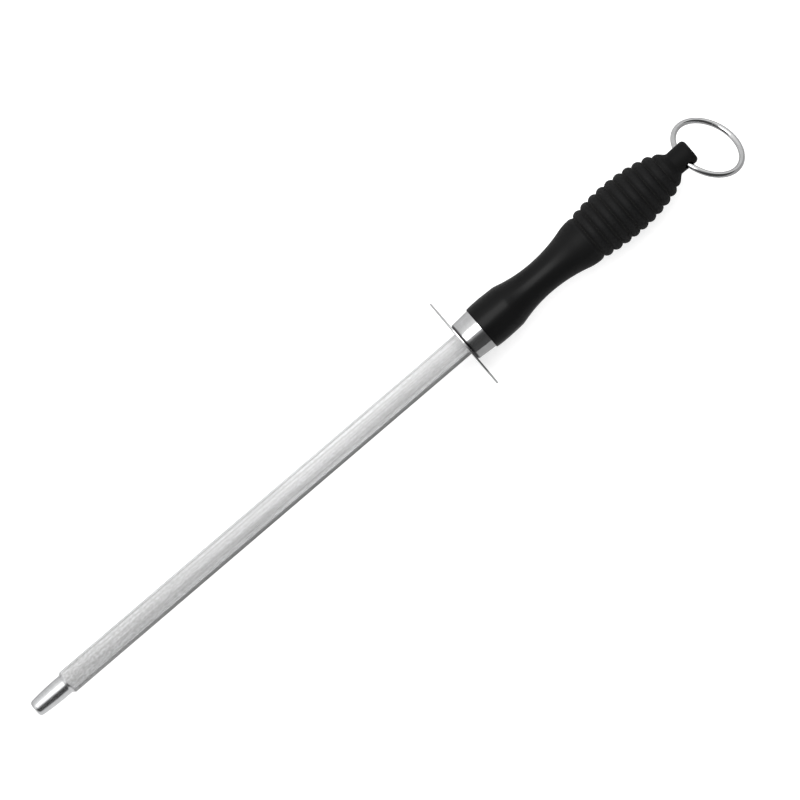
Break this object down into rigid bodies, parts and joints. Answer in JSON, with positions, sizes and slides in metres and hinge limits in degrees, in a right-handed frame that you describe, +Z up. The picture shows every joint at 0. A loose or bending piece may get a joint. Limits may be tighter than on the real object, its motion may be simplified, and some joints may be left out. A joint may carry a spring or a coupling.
{
  "type": "knife sharpening steel",
  "caption": "Round fluted sharpening steel with a smooth turned point, a thin disc guard, a bright ferrule, a black ribbed moulded handle and a swinging wire ring to hang it by.",
  "frame": {"origin": "where the rod's axis meets the guard's front face, which is where the handle's fittings end and the fluted rod begins", "axes": "-X along the rod to its point, +X along the handle to its ring, +Z up when the steel lies on a table with the rod level, as it is drawn"},
  "size_m": [0.3057, 0.0352, 0.0352],
  "materials": {
    "fluted_steel": "satin, hard-plated, with fine lengthwise flutes; the point is turned smooth",
    "guard_plate": "bright plated, lightly brushed by handling",
    "ferrule_plate": "bright plated",
    "black_moulding": "semi-gloss moulded black",
    "ring_wire": "bright plated wire"
  },
  "bodies": {
    "steel": {"sharpening_rod": "fluted_steel", "hand_guard": "guard_plate", "ferrule": "ferrule_plate", "handle": "black_moulding"},
    "hanger": {"hanging_ring": "ring_wire"}
  },
  "joints": [
    {"name": "ring_swing", "type": "hinge", "parent": "steel", "child": "hanger", "pos_m": [0.097, 0, 0], "axis": [0, 1, 0], "range_deg": [-194, 108]}
  ]
}
